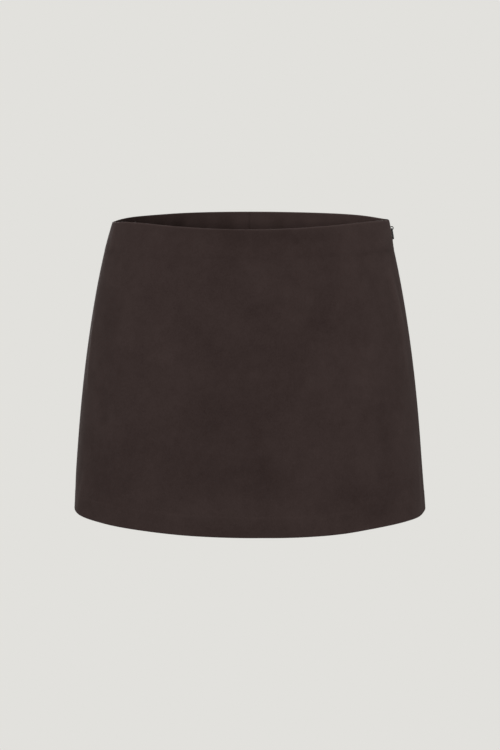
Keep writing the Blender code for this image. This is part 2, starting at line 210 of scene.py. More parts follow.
def rows_at(table, drop):
    """The table's columns at these drops, on a smooth curve through its rows."""
    table = np.asarray(table)
    marks = table[:, 0]
    last = len(marks) - 1
    low = np.minimum(np.searchsorted(marks[1:], drop), last - 1)
    high, before, after = low + 1, np.maximum(low - 1, 0), np.minimum(low + 2, last)
    span = (marks[high] - marks[low])[..., None]
    share = (drop - marks[low])[..., None] / span
    slope_low = (table[high] - table[before]) * span / (marks[high] - marks[before])[..., None]
    slope_high = (table[after] - table[low]) * span / (marks[after] - marks[low])[..., None]
    bend = (slope_low * (1 - share) - slope_high * share) * (1 - share) * share
    blend = ease(share)
    return np.moveaxis((table[low] * (1 - blend) + table[high] * blend + bend)[..., 1:], -1, 0)


def degrees_from(turn, middle):
    return (np.degrees(turn) - middle + 180) % 360 - 180


def flutes(turn, drop):
    """How far the hanging folds stand out."""
    total = 0
    for at_hem, swing, half_width, start, height in FLUTES:
        share = np.clip((drop - start) / (LENGTH - start), 0, 1)
        away = np.clip(degrees_from(turn, at_hem + swing * (1 - share)) / half_width, -1, 1)
        total = total + height * ease(share) * np.cos(math.pi / 2 * away) ** 2
    return total


def creases(turn, drop):
    """How far the creases and dents stand out."""
    total = 0
    for from_turn, from_drop, to_turn, to_drop, half_width, height, bow in CREASES:
        run_x, run_y = (to_turn - from_turn) * MM_PER_DEGREE, to_drop - from_drop
        reach = math.hypot(run_x, run_y)
        x, y = degrees_from(turn, from_turn) * MM_PER_DEGREE, drop - from_drop
        along = (x * run_x + y * run_y) / reach**2
        arch = np.clip(4 * along * (1 - along), 0, 1)
        aside = (x * run_y - y * run_x) / reach - bow * arch
        total = total + height * ease(arch) * bell(aside / half_width)
    return total


def uneven(turn):
    """A slow change round the skirt, from 0.5 to 1."""
    return 0.75 + 0.11 * np.sin(3 * turn + 1.0) + 0.14 * np.sin(7 * turn + 2.2)


def show_through(turn, drop):
    """How far the facing and the turned-up hem push the suede out."""
    facing = FACING_SHOWS * ease((FACING_DEPTH + EDGE_REACH - drop) / EDGE_SOFTNESS)
    hem = HEM_SHOWS * ease((drop - LENGTH + HEM_TURN_UP + EDGE_REACH) / EDGE_SOFTNESS)
    return (facing + hem) * uneven(turn)


def zip_bulge(turn, drop):
    """How far the top of the zip and its pull push the side out."""
    from_seam = turn - LEFT_SIDE
    ridge = PULL_RIDGE * np.exp(-(((drop - RIDGE_DROP) / RIDGE_REACH) ** 2) - (from_seam / RIDGE_SOFTNESS) ** 2)
    return ZIP_BULGE * ease(1 - drop / BULGE_DROP) * ease(1 - abs(from_seam) / BULGE_HALF_WIDTH) + ridge


def height(turn, drop):
    """The level of a point, where the rows near the waist and the hem follow its edges."""
    side, middle = np.abs(np.sin(turn)) ** SIDE_DIP_SHARPNESS, np.cos(turn)
    dip = side * np.where(np.sin(turn) > 0, LEFT_DIP, RIGHT_DIP)
    dip = dip + middle**2 * np.where(middle > 0, FRONT_DIP, -BACK_RISE)
    from_left = degrees_from(turn, 90)
    dip = dip + RIGHT_BACK_DIP * bell(degrees_from(turn, RIGHT_BACK_TURN) / RIGHT_BACK_WIDTH)
    dip = dip - ZIP_RISE * bell(from_left / ZIP_RISE_WIDTH)
    fade = np.clip(1 - drop / DIP_REACH, 0, 1) ** 2
    sag = np.interp(from_left, *HEM_SAG)
    return -drop - dip * fade + (HEM_SIDE_RISE * np.sin(turn) ** 2 - sag) * (drop / LENGTH) ** 2


def sweep(ring, turn):
    """Where a ring is at this turn, and its direction there."""
    side, front, back, point = ring
    sine, cosine = np.sin(turn), np.cos(turn)
    depth = np.where(cosine > 0, front, back)
    taper = 1 - point * sine**2
    return side * sine, -depth * cosine * taper, side * cosine, depth * sine * (taper + 2 * point * cosine**2)


def skirt_point(turn, drop, inset=0.0):
    """Points of the skirt in metres, inset from its outer face."""
    turn, drop, inset = np.broadcast_arrays(turn, drop, inset)
    x, y, run_x, run_y = sweep(rows_at(SKIRT_RINGS, drop), turn)
    length = np.hypot(run_x, run_y)
    out = flutes(turn, drop) + creases(turn, drop) + show_through(turn, drop) + zip_bulge(turn, drop) - inset
    return np.stack([x + out * run_y / length, y - out * run_x / length, height(turn, drop)], -1) * MM


def turn_beside(seam, distance, drop):
    """The turn that lies this far round the skirt from a seam."""
    drop, distance = np.broadcast_arrays(np.asarray(drop, float), distance)
    # The skirt's direction is taken just beside the seam, on the side that is asked for.
    _, _, run_x, run_y = sweep(rows_at(SKIRT_RINGS, drop), seam + np.copysign(1e-4, distance))
    return seam + distance / np.hypot(run_x, run_y)


def painted_light_and_shade(turn, drop):
    """Painted light and shade on the suede, about 0.5, from its creases, its sides, its drop and its edges."""
    side = np.sin(turn) ** 4
    # Painted sheen at the sides and painted light down the skirt.
    lit = NAP_FRONT + PAINTED_SIDE_SHEEN * side + (PAINTED_LIGHT_DOWN - PAINTED_LIGHT_DOWN_SIDES * side) * drop / LENGTH
    # Painted light on the creases' ridges and painted shade in their hollows.
    lit = lit + PAINTED_CREASE_SHADING * creases(turn, drop)
    # A painted highlight along the hem's ridge and painted shade below the facing's edge.
    lit = lit + HEM_RIDGE_HIGHLIGHT * bell((drop - LENGTH + HEM_TURN_UP) / HEM_LINE_WIDTH) * uneven(turn)
    lit = lit - FACING_EDGE_SHADE * bell((drop - FACING_DEPTH - FACING_LINE_BELOW) / FACING_LINE_WIDTH) * uneven(turn)
    # A painted highlight along the top edge.
    return np.clip(lit + TOP_EDGE_HIGHLIGHT * bell(drop / TOP_EDGE_HIGHLIGHT_WIDTH), 0, 1)


def spaced(*stops):
    """Rows or columns: pairs of a place and the spacing up to it, from 0."""
    places = [0.0]
    for stop, step in stops:
        count = max(round((stop - places[-1]) / step), 1)
        places += list(np.linspace(places[-1], stop, count + 1)[1:])
    return np.array(places)


BESIDE_SEAM = (2.4, 0.6), (6, 1.2), (12, 2)


def panel_shares(width, step):
    """Columns across a panel as shares of its width, closer together beside its seams."""
    half = spaced(*BESIDE_SEAM, (width / 2, step))
    return np.concatenate([half, width - half[-2::-1]]) / width


def from_seams(shares, width):
    """How far each column lies from the nearer seam."""
    return np.minimum(shares, 1 - shares) * width


def on_cloth(place, turn, drop, nap_and_painted_light=None):
    """A grid of points with where each lies on the cloth, in metres, and how light it lies, which on the suede is
    its painted light and shade.
    """
    turn, drop = np.broadcast_arrays(turn, drop)
    nap_and_painted_light = painted_light_and_shade(turn, drop) if nap_and_painted_light is None else nap_and_painted_light
    cloth = np.stack([turn * MM_PER_DEGREE * math.degrees(1) * MM, drop * MM, nap_and_painted_light + 0 * drop], -1)
    return np.concatenate([place, cloth], -1)


SHARP_EDGE = math.radians(50)


def cloth_mesh(name, walls, paints):
    """A mesh of walls of cloth, each between an outer and an inner grid of points. paints are the materials of
    the outer face, the inner face and the cut edges."""
    corners, faces, painted, start = [], [], [], 0
    for outer, inner in walls:
        rows, columns = outer.shape[:2]
        a = start + np.arange(rows * columns).reshape(rows, columns)
        b = a + rows * columns
        sheets = [
            np.stack([a[:-1, :-1], a[1:, :-1], a[1:, 1:], a[:-1, 1:]], -1).reshape(-1, 4),
            np.stack([b[:-1, 1:], b[1:, 1:], b[1:, :-1], b[:-1, :-1]], -1).reshape(-1, 4),
            np.concatenate([
                np.stack([a[0, :-1], a[0, 1:], b[0, 1:], b[0, :-1]], -1),
                np.stack([a[-1, 1:], a[-1, :-1], b[-1, :-1], b[-1, 1:]], -1),
                np.stack([a[:-1, 0], b[:-1, 0], b[1:, 0], a[1:, 0]], -1),
                np.stack([a[:-1, -1], a[1:, -1], b[1:, -1], b[:-1, -1]], -1),
            ]),
        ]
        corners += [outer.reshape(-1, 6), inner.reshape(-1, 6)]
        faces += sheets
        painted += [np.full(len(sheet), index) for index, sheet in enumerate(sheets)]
        start += 2 * rows * columns
    corners = np.concatenate(corners)
    mesh = bpy.data.meshes.new(name)
    mesh.from_pydata(corners[:, :3].tolist(), [], np.concatenate(faces).tolist())
    for paint in paints:
        mesh.materials.append(paint)
    mesh.polygons.foreach_set("material_index", np.concatenate(painted).astype(np.int32))
    places = np.empty(len(mesh.loops), np.int32)
    mesh.loops.foreach_get("vertex_index", places)
    laid = mesh.uv_layers.new(name="cloth")
    laid.uv.foreach_set("vector", corners[places, 3:5].astype(np.float32).ravel())
    # How light each point lies; on the suede this is its painted light and shade.
    mesh.attributes.new("nap_and_painted_light", "FLOAT", "POINT").data.foreach_set("value", corners[:, 5].astype(np.float32))
    mesh.shade_smooth()
    mesh.set_sharp_from_angle(angle=SHARP_EDGE)
    piece = add_object(name, mesh)
    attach(piece, "skort")
    return piece


def add_node(tree, kind, inputs=None, **settings):
    """A shader node with its settings, and with each input set to a value or linked to a socket."""
    made = tree.nodes.new("ShaderNode" + kind)
    for name, value in settings.items():
        setattr(made, name, value)
    for socket, value in (inputs or {}).items():
        if isinstance(value, bpy.types.NodeSocket):
            tree.links.new(value, made.inputs[socket])
        else:
            made.inputs[socket].default_value = value
    return made


def math_node(tree, operation, *values):
    return add_node(tree, "Math", dict(enumerate(values)), operation=operation).outputs[0]


def noise(tree, place, scale, detail, roughness=0.5):
    """Soft random patches between 0 and 1, this many to a unit of place."""
    inputs = {"Vector": place, "Scale": scale, "Detail": detail, "Roughness": roughness}
    return add_node(tree, "TexNoise", inputs).outputs[0]


def centred(tree, value, span):
    """A value between 0 and 1, spread over this span about 0."""
    return math_node(tree, "MULTIPLY_ADD", value, span, -span / 2)


def new_group(name, inputs, outputs):
    """An empty node group with float inputs, given as names with defaults, and outputs as names."""
    group = bpy.data.node_groups.new(name, "ShaderNodeTree")
    group.interface.new_socket("Vector", in_out="INPUT", socket_type="NodeSocketVector")
    for socket, value in inputs.items():
        group.interface.new_socket(socket, in_out="INPUT", socket_type="NodeSocketFloat").default_value = value
    for socket in outputs:
        group.interface.new_socket(socket, in_out="OUTPUT", socket_type="NodeSocketFloat")
    return group, group.nodes.new("NodeGroupInput").outputs, group.nodes.new("NodeGroupOutput").inputs


def use_group(tree, group, inputs):
    return add_node(tree, "Group", inputs, node_tree=group).outputs


def make_nap():
    """Suede's nap: cloudy patches where it lies lighter or darker, short fibres, and the relief of both."""
    group, given, out = new_group("suede nap", {"Lies": 0.5, "Clouds": 1.0, "Fibres": 1.0}, ("Shade", "Relief"))
    wide = noise(group, given["Vector"], scale=22.0, detail=3.0, roughness=0.62)
    close = noise(group, given["Vector"], scale=95.0, detail=3.0, roughness=0.6)
    brushed = add_node(group, "VectorMath", {0: given["Vector"], 1: (1.0, 1.0, 0.28)}, operation="MULTIPLY")
    fibre = noise(group, brushed.outputs[0], scale=1500.0, detail=2.0, roughness=0.65)
    pile = noise(group, given["Vector"], scale=520.0, detail=2.0)
    cloudy = math_node(group, "ADD", centred(group, wide, 0.74), centred(group, close, 0.5))
    clouds = math_node(group, "MULTIPLY", cloudy, given["Clouds"])
    tufted = math_node(group, "ADD", centred(group, fibre, 0.6), centred(group, pile, 0.5))
    fibres = math_node(group, "MULTIPLY", tufted, given["Fibres"])
    lies = math_node(group, "ADD", given["Lies"], clouds)
    group.links.new(math_node(group, "ADD", lies, fibres), out["Shade"])
    group.links.new(math_node(group, "MULTIPLY_ADD", close, 0.6, fibres), out["Relief"])
    return group


nap_group = make_nap()
NAP_SMOOTHS = 0.12
SHEEN_TINT = (1.0, 0.84, 0.80, 1)


def new_paint(name):
    """A new material, its nodes and its shader."""
    material = bpy.data.materials.new(name)
    material.use_nodes = True
    tree = material.node_tree
    return material, tree, tree.nodes["Principled BSDF"]


def lay_paint(tree, shader, shade, dark, light, roughness, relief, strength, distance):
    """Gives the shader its colour between two shades, its roughness and its small relief, distance metres deep."""
    ramp = add_node(tree, "Mix", {"Factor": shade, "A": (*dark, 1), "B": (*light, 1)}, data_type="RGBA")
    tree.links.new(ramp.outputs["Result"], shader.inputs["Base Color"])
    tree.links.new(roughness, shader.inputs["Roughness"])
    bump = add_node(tree, "Bump", {"Height": relief, "Strength": strength, "Distance": distance})
    tree.links.new(bump.outputs[0], shader.inputs["Normal"])


def make_suede(name, dark, light, clouds, fibres, roughness, relief, sheen):
    """Suede in two shades of one brown, chosen between by the painted light and shade on the mesh and the nap's
    clouds and fibres.
    """
    material, tree, shader = new_paint(name)
    place = add_node(tree, "TexCoord").outputs["Object"]
    # The mesh's painted light and shade, read from its attribute.
    lies = add_node(tree, "Attribute", attribute_name="nap_and_painted_light").outputs["Fac"]
    nap_and_painted_light = use_group(tree, nap_group, {"Vector": place, "Lies": lies, "Clouds": clouds, "Fibres": fibres})
    rough = math_node(tree, "MULTIPLY_ADD", nap_and_painted_light["Shade"], -NAP_SMOOTHS, roughness + NAP_SMOOTHS / 2)
    lay_paint(tree, shader, nap_and_painted_light["Shade"], dark, light, rough, nap_and_painted_light["Relief"], relief, distance=0.0003)
    shader.inputs["Specular IOR Level"].default_value = 0.06
    shader.inputs["Sheen Weight"].default_value = sheen
    shader.inputs["Sheen Roughness"].default_value = 0.42
    shader.inputs["Sheen Tint"].default_value = SHEEN_TINT
    return material


suede = make_suede(
    "suede", (0.0235, 0.0149, 0.0135), (0.0400, 0.0270, 0.0249),
    clouds=1.0, fibres=1.0, roughness=0.88, relief=0.35, sheen=0.03,
)
flesh_side = make_suede(
    "suede_wrong_side", (0.044, 0.0295, 0.0265), (0.066, 0.047, 0.043),
    clouds=0.5, fibres=1.3, roughness=0.92, relief=0.5, sheen=0.02,
)
cut_edge = make_suede(
    "suede_cut_edge", (0.022, 0.0145, 0.013), (0.036, 0.025, 0.023),
    clouds=0.4, fibres=1.6, roughness=0.95, relief=0.6, sheen=0.0,
)
SUEDE_PAINTS = (suede, flesh_side, cut_edge)

# At the zip the edges part round the slider's neck. The top edge is rolled over. Along each seam the suede lies
# darker and sinks in, which fades out as the face turns inside.
SLOT_HALF_WIDTH, SLOT_DROP, SLOT_HALF_LENGTH = 0.62, 10.4, 5.5
ROLL, ROLL_DEPTH = 1.3, 0.95
SEAM_DEPTH, SEAM_SOFTNESS, SEAM_SHADE, SEAM_FADE = 0.62, 1.7, 0.35, 3

# Seam allowances: width and spacing of rows, where they start and end, columns and which of them are ragged, how
# ragged, the inset of both faces, and how light they lie.
ALLOWANCE, ALLOWANCE_STEP = 9.0, 4
ALLOWANCE_START, ALLOWANCE_BELOW_ZIP, ALLOWANCE_END = FACING_DEPTH + 3, ZIP_LENGTH + 4, LENGTH - HEM_TURN_UP - 0.5
ALLOWANCE_COLUMNS, ALLOWANCE_RAGGED = (0.0, 3.0, 6.0, ALLOWANCE - 0.4, ALLOWANCE), (0, 0, 0, 1, 1)
RAGGED_BY, RAGGED_RATE = 0.35, 0.21
ALLOWANCE_FACES, ALLOWANCE_NAP = (1.25, 1.95), 0.4

# Rows down the skirt, round the hem's fold and up its inside.
SKIRT_ROWS = spaced(
    (0.5, 0.12), (1.3, 0.25), (3, 0.7), (9, 2), (31, 2.75), (38, 0.7), (305, 2.7), (312, 0.7), (328, 2.3),
)
FOLD_ANGLES = np.radians(np.linspace(18, 162, 9))
TURN_UP_ROWS = 11


def roll(drop):
    """How far the top edge of a layer is rolled over at this drop."""
    up = np.clip(1 - drop / ROLL, 0, 1)
    return 1 - np.sqrt(1 - up**2)


def seam_edge(seam, drop):
    """Half the gap at a seam. At the zip the edges part where the slider's neck comes through."""
    parted = ease(2 - 2 * np.abs(drop - SLOT_DROP) / SLOT_HALF_LENGTH)
    return 0 * drop + (SLOT_HALF_WIDTH * parted if seam == LEFT_SIDE else 0)


def panel_turns(seams, drop, shares, edge):
    """The turns of a panel's columns at each drop, between its two seams."""
    first = turn_beside(seams[0], edge(seams[0], drop), drop)[:, None]
    last = turn_beside(seams[1], -edge(seams[1], drop), drop)[:, None]
    return first + (last - first) * shares


def hem_path():
    """Drop and inset of the two faces at each row: down the skirt, round the hem's fold and up inside."""
    fold, slit = SUEDE + SEAM_GAP / 2, SEAM_GAP / 2
    bottom = LENGTH - fold
    down = np.append(SKIRT_ROWS, bottom)
    around, across = np.sin(FOLD_ANGLES), 1 - np.cos(FOLD_ANGLES)
    up = np.linspace(bottom, LENGTH - HEM_TURN_UP, TURN_UP_ROWS)
    inside, outside = SUEDE + SEAM_GAP, 2 * SUEDE + SEAM_GAP
    outer_drop = np.concatenate([down, bottom + fold * around, up])
    outer_inset = np.concatenate([ROLL_DEPTH * roll(down), fold * across, 0 * up + outside])
    inner_drop = np.concatenate([down, bottom + slit * around, up])
    inner_inset = np.concatenate([0 * down + SUEDE, SUEDE + slit * across, 0 * up + inside])
    return outer_drop, outer_inset, inner_drop, inner_inset


def allowance(seam, side):
    """A seam allowance glued flat behind a panel, as two grids. side is 1 where the panel lies past the seam."""
    first, last = ALLOWANCE_BELOW_ZIP if seam == LEFT_SIDE else ALLOWANCE_START, ALLOWANCE_END
    drop = np.linspace(first, last, int((last - first) / ALLOWANCE_STEP))[:, None]
    reach = np.array(ALLOWANCE_COLUMNS) * side
    ragged = RAGGED_BY * np.sin(drop * RAGGED_RATE + seam * 5) * np.array(ALLOWANCE_RAGGED) * side
    turn = turn_beside(seam, reach + ragged, drop)
    return [on_cloth(skirt_point(turn, drop, inset), turn, drop, ALLOWANCE_NAP) for inset in ALLOWANCE_FACES]


def skirt_panel(name, node, seams, width, step):
    """A panel of the skirt between two seams, with the allowances behind them."""
    outer_drop, outer_inset, inner_drop, inner_inset = (values[:, None] for values in hem_path())
    shares = panel_shares(width, step)
    at_seam = bell(from_seams(shares, width) / SEAM_SOFTNESS)
    turns = panel_turns(seams, np.minimum(outer_drop[:, 0], LENGTH), shares, seam_edge)
    # Painted light and shade on the panel, darker along its seams.
    nap_and_painted_light = painted_light_and_shade(turns, outer_drop) - SEAM_SHADE * at_seam
    outer_inset = outer_inset + SEAM_DEPTH * at_seam * (1 - outer_inset / SEAM_FADE)
    walls = [(
        on_cloth(skirt_point(turns, outer_drop, outer_inset), turns, outer_drop, nap_and_painted_light),
        on_cloth(skirt_point(turns, inner_drop, inner_inset), turns, inner_drop),
    )]
    walls += [allowance(seam, side) for seam, side in zip(seams, (1, -1))]
    piece = cloth_mesh(name, walls, SUEDE_PAINTS)
    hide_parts(node)


FRONT_SEAMS = (RIGHT_SIDE, LEFT_SIDE)
skirt_panel("front_panel", "skirt_front", FRONT_SEAMS, 500, 2.7)

# ------------------------------ the back
# The back is cut in two from the same suede, with a centre-back seam whose allowances are glued open. It is made as
# the front is, and sewn to it at both sides, on the left below the zip.
LEFT_BACK_SEAMS = (LEFT_SIDE, CENTRE_BACK)
RIGHT_BACK_SEAMS = (CENTRE_BACK, RIGHT_SIDE + 2 * math.pi)
skirt_panel("back_panel_left", "skirt_back_left", LEFT_BACK_SEAMS, 256, 2.8)
skirt_panel("back_panel_right", "skirt_back_right", RIGHT_BACK_SEAMS, 256, 2.8)

# ------------------------------ the waist facing
# A 34 mm strip of the same suede in three pieces, right side to the wearer, seamed to the top edge and rolled with
# it. Its lower edge is cut raw and its ends stop at the zip's tapes.
FACING_FACES = (1.25, 2.7)
FACING_ROLL = 1.1
TAPE_START, TAPE_END = 3.2, 11.0
FACING_ROWS = spaced((0.5, 0.12), (1.3, 0.25), (3, 0.7), (9, 2), (32.6, 2.6), (33.7, 0.5), (FACING_DEPTH, 0.3))
FACING_STEP = 4

# The facing sinks in and lies darker at its seams, waves a little below the top edge, which shades it too, and its
# raw lower edge is worn thin.
FACING_SEAM_DEPTH, FACING_SEAM_SOFTNESS = 0.5, 1.3
FACING_SEAM_SHADE, FACING_SHADE_WIDTH = 0.25, 1.0
WAVE, WAVE_RATE, WAVE_SHIFT, WAVE_SLOW_RATE, WAVE_REACH, WAVE_SHADE = 0.12, 23, 0.7, 9, 12, 1.6
RAW_EDGE_THINS, RAW_EDGE_WIDTH = 0.3, 1.2

# Painted light and shade on the facing, by the sine of the turn from the wearer's right at -1 to their left at 1:
# painted shade at the right end of the inside, painted light towards the middle and the left.
FACING_PAINTED_LIGHT = (-1, -0.75, -0.35, 0, 0.5, 1), (0.0, 0.2, 0.54, 0.79, 0.80, 0.92)

# The facing's suede spans more from dark to light than the skirt's, so that it carries the painted light and shade
# of the inside.
facing_suede_painted_light = make_suede(
    "facing_suede_painted_light", (0.026, 0.0166, 0.0149), (0.062, 0.0416, 0.038),
    clouds=0.55, fibres=0.7, roughness=0.88, relief=0.35, sheen=0.03,
)


def facing_edge(seam, drop):
    """Half the gap at a seam, where the zip's tapes come between the facing's ends."""
    return (TAPE_END + SEAM_GAP if seam == LEFT_SIDE else 0) + 0 * drop


def facing(name, node, seams, width, flat, area):
    """A piece of the facing between two seams."""
    drop = FACING_ROWS[:, None]
    shares = panel_shares(width, FACING_STEP)
    turns = panel_turns(seams, FACING_ROWS, shares, facing_edge)
    beside = from_seams(shares, width)
    sunk = FACING_SEAM_DEPTH * bell(beside / FACING_SEAM_SOFTNESS)
    wave = WAVE * np.sin(turns * WAVE_RATE + WAVE_SHIFT) * np.sin(turns * WAVE_SLOW_RATE) * ease(drop / WAVE_REACH)
    thin = RAW_EDGE_THINS * ease((drop - FACING_DEPTH + RAW_EDGE_WIDTH) / RAW_EDGE_WIDTH)
    near, far = FACING_FACES
    inner = far - FACING_ROLL * roll(drop) - sunk - thin + wave
    # Painted light and shade on the facing's inner face, lighter and darker with its wave and darker at its seams.
    lies = np.interp(np.sin(turns), *FACING_PAINTED_LIGHT) + WAVE_SHADE * wave
    lies = lies - FACING_SEAM_SHADE * bell(beside / FACING_SHADE_WIDTH)
    wall = (
        on_cloth(skirt_point(turns, drop, near), turns, drop),
        on_cloth(skirt_point(turns, drop, inner), turns, drop, lies),
    )
    piece = cloth_mesh(name, [wall], (flesh_side, facing_suede_painted_light, cut_edge))
    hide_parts(node)


facing("front_facing", "facing_front", FRONT_SEAMS, 400, (0.400, 0.036), 0.0131)
facing("back_facing_left", "facing_back_left", LEFT_BACK_SEAMS, 205, (0.206, 0.036), 0.0070)
facing("back_facing_right", "facing_back_right", RIGHT_BACK_SEAMS, 215, (0.216, 0.036), 0.0073)

# ------------------------------ the shorts
# Plain shorts of 1 mm jersey inside the skirt, cut in four and hung from the facing's lower edge. Beside the zip
# they are sewn to its tapes. The legs end in a 20 mm hem held by two rows of stitches.
JERSEY = 1.0
CROTCH_DROP, CROTCH_CURVE_START = 215.0, 150.0
SHORTS_LENGTH = 285.0
LEG_GAP, LEG_GAP_REACH = 5.0, 25.0
SHORTS_WIDTH = 205.0
JOINED_WIDTH, CROTCH_OPENING = 2.0, 8.0
EASE_AT_TOP = 2.0
ZIP_PULL_IN, ZIP_END_CLOSING = 45.0, 12.0
SHORTS_SEAM_DEPTH, SHORTS_SEAM_SOFTNESS = 0.45, 1.5
SHORTS_STEP = 3.4

# The leg hems: width, how far they stand out and in, the length of their upper edge, and the rounding of the lower.
LEG_HEM, LEG_HEM_OUT, LEG_HEM_IN, LEG_HEM_EDGE = 20.0, 0.15, 0.75, 2
ROUNDED_BY, ROUNDED_WIDTH = 0.4, 1.2

# How light the jersey lies, how far soft clouds change it, their size, and how much darker the leg hems are.
JERSEY_LIES, JERSEY_CLOUDS, CLOUDS_ACROSS, CLOUDS_DOWN, LEG_HEM_SHADE = 0.5, 0.12, 9, 23, 0.12

# How far the shorts stand inside the skirt: drop, at the sides, in front and behind.
SHORTS_EASE = (
    (FACING_DEPTH, EASE_AT_TOP, EASE_AT_TOP, EASE_AT_TOP),
    (60.0, 4.0, 3.5, 4.0),
    (95.0, 7.0, 6.0, 7.0),
    (135.0, 10.0, 9.0, 11.0),
    (ZIP_LENGTH, 14.0, 17.0, 19.0),
    (CROTCH_DROP, 18.0, 28.0, 31.0),
    (250.0, 22.0, 38.0, 41.0),
    (SHORTS_LENGTH, 26.0, 43.0, 46.0),
)

# Soft folds of the jersey: side, front or back, share across the panel at the hem, lean, half width, start, height.
SHORTS_FOLDS = (
    (1, 1, 0.22, 0.10, 0.07, 170, 1.1),
    (1, 1, 0.48, -0.08, 0.09, 120, -1.2),
    (1, 1, 0.77, 0.05, 0.07, 150, 1.0),
    (-1, 1, 0.27, -0.07, 0.08, 150, 1.2),
    (-1, 1, 0.55, 0.09, 0.08, 185, -1.0),
    (-1, 1, 0.82, -0.04, 0.06, 110, 1.0),
    (1, -1, 0.18, 0.06, 0.07, 180, 1.1),
    (1, -1, 0.44, 0.10, 0.09, 140, 1.3),
    (1, -1, 0.72, -0.06, 0.07, 160, -1.0),
    (-1, -1, 0.25, 0.08, 0.08, 165, -1.1),
    (-1, -1, 0.58, -0.09, 0.08, 130, 1.3),
    (-1, -1, 0.84, 0.05, 0.06, 175, 0.9),
)


def shorts_point(side, half, share, drop, inset):
    """Points of the shorts in metres. side is 1 on the left and -1 on the right, half is 1 in front and -1 behind,
    and share runs from the centre seam or the inseam to the side seam."""
    share, drop, inset = np.broadcast_arrays(share, np.asarray(drop, float), inset)
    width, front, back, point = rows_at(SKIRT_RINGS, drop)
    ease_side, ease_front, ease_back = rows_at(SHORTS_EASE, drop)
    flank = width - ease_side
    depth = front - ease_front if half > 0 else back - ease_back
    parting = np.clip((drop - CROTCH_CURVE_START) / (CROTCH_DROP - CROTCH_CURVE_START), 0, 1)
    crotch = LEG_GAP * ease((drop - CROTCH_DROP) / LEG_GAP_REACH)
    middle = parting * (flank + crotch) / 2
    radius = flank - middle
    at_zip = 1 - ease((drop - ZIP_LENGTH) / ZIP_END_CLOSING) if side > 0 else 0 * drop
    edge = (TAPE_END + SEAM_GAP / 2) * at_zip
    inseam = np.arcsin(np.clip((crotch - middle) / radius, -1, 1))
    start = np.maximum(-math.pi / 2, inseam)
    turn = start + (np.arccos(edge / (depth * (1 - point))) - start) * share
    x, y, run_x, run_y = sweep((radius, depth, depth, point), turn)
    out = -inset
    for fold_side, fold_half, at_hem, lean, half_width, begins, rise in SHORTS_FOLDS:
        if (fold_side, fold_half) == (side, half):
            down = ease((drop - begins) / (SHORTS_LENGTH - begins))
            out = out + rise * down * bell((share - at_hem - lean * (1 - down)) / half_width)
    length = np.hypot(run_x, run_y)
    x, y = x + middle + out * run_y / length, y - out * run_x / length
    # The left and right halves meet at the seam between them, down to the crotch.
    joined = bell(share * SHORTS_WIDTH / JOINED_WIDTH) * ease(1 - (drop - CROTCH_DROP) / CROTCH_OPENING)
    x = x * (1 - joined)
    reach = np.where(x > middle, at_zip * (1 - ease((np.abs(y) - TAPE_END) / ZIP_PULL_IN)), 0)
    skirt_x = width * np.sqrt(np.clip(1 - (y / (front * (1 - point))) ** 2, 0, 1))
    x = x + reach * (skirt_x - EASE_AT_TOP - inset - x)
    level = height(side * turn if half > 0 else math.pi - side * turn, drop)
    return np.stack([side * x, half * y, level], -1) * MM


def new_cloth_group(name, inputs):
    """A node group for cloth. Vector is the place on the cloth in metres, which is split in millimetres."""
    group, given, out = new_group(name, inputs, ("Height", "Shade"))
    place = add_node(group, "VectorMath", {0: given["Vector"], 1: (1000.0, 1000.0, 1000.0)}, operation="MULTIPLY")
    return group, given, out, place.outputs[0], add_node(group, "SeparateXYZ", {0: place.outputs[0]}).outputs


def make_knit():
    """Fine jersey: columns of small V-shaped loops."""
    group, given, out, place, split = new_cloth_group("jersey loops", {"Wale": 1.1, "Course": 0.8})
    across = math_node(group, "FRACT", math_node(group, "DIVIDE", split["X"], given["Wale"]))
    arm = math_node(group, "ABSOLUTE", math_node(group, "SUBTRACT", across, 0.5))
    rib = math_node(group, "SINE", math_node(group, "MULTIPLY", arm, 2 * math.pi))
    down = math_node(group, "DIVIDE", split["Y"], given["Course"])
    loop = math_node(group, "SINE", math_node(group, "MULTIPLY", math_node(group, "ADD", down, arm), 2 * math.pi))
    loop = math_node(group, "MULTIPLY_ADD", loop, 0.3, 0.7)
    fuzz = noise(group, place, scale=0.9, detail=3.0)
    group.links.new(math_node(group, "MULTIPLY_ADD", rib, loop, fuzz), out["Height"])
    shade = math_node(group, "MULTIPLY_ADD", rib, 0.35, math_node(group, "MULTIPLY", fuzz, 0.65))
    group.links.new(shade, out["Shade"])
    return group


def make_cloth_paint(name, group, dark, light, roughness, relief, sheen):
    """A knitted or woven cloth in two shades of one colour, laid out by where each point lies on the cloth. How
    light it lies moves the shade by up to a quarter either way."""
    material, tree, shader = new_paint(name)
    place = add_node(tree, "UVMap", uv_map="cloth").outputs[0]
    made = use_group(tree, group, {"Vector": place})
    lies = add_node(tree, "Attribute", attribute_name="nap_and_painted_light").outputs["Fac"]
    shade = math_node(tree, "MULTIPLY_ADD", lies, 0.5, math_node(tree, "SUBTRACT", made["Shade"], 0.25))
    rough = math_node(tree, "MULTIPLY_ADD", made["Shade"], -0.1, roughness)
    lay_paint(tree, shader, shade, dark, light, rough, made["Height"], relief, distance=0.0002)
    shader.inputs["Specular IOR Level"].default_value = 0.1
    shader.inputs["Sheen Weight"].default_value = sheen
    shader.inputs["Sheen Roughness"].default_value = 0.5
    shader.inputs["Sheen Tint"].default_value = SHEEN_TINT
    return material


jersey = make_cloth_paint(
    "jersey", make_knit(), (0.025, 0.0169, 0.0152), (0.050, 0.0345, 0.0312), roughness=0.92, relief=0.6, sheen=0.05
)
SHORTS_ROWS = spaced(
    (1.5, 0.75), (160, 3), (174, 2), (180.6, 0.8), (184, 1.1), (229, 3), (233, 1), (249, 2.6), (250.7, 0.6),
) + FACING_DEPTH + SEAM_GAP


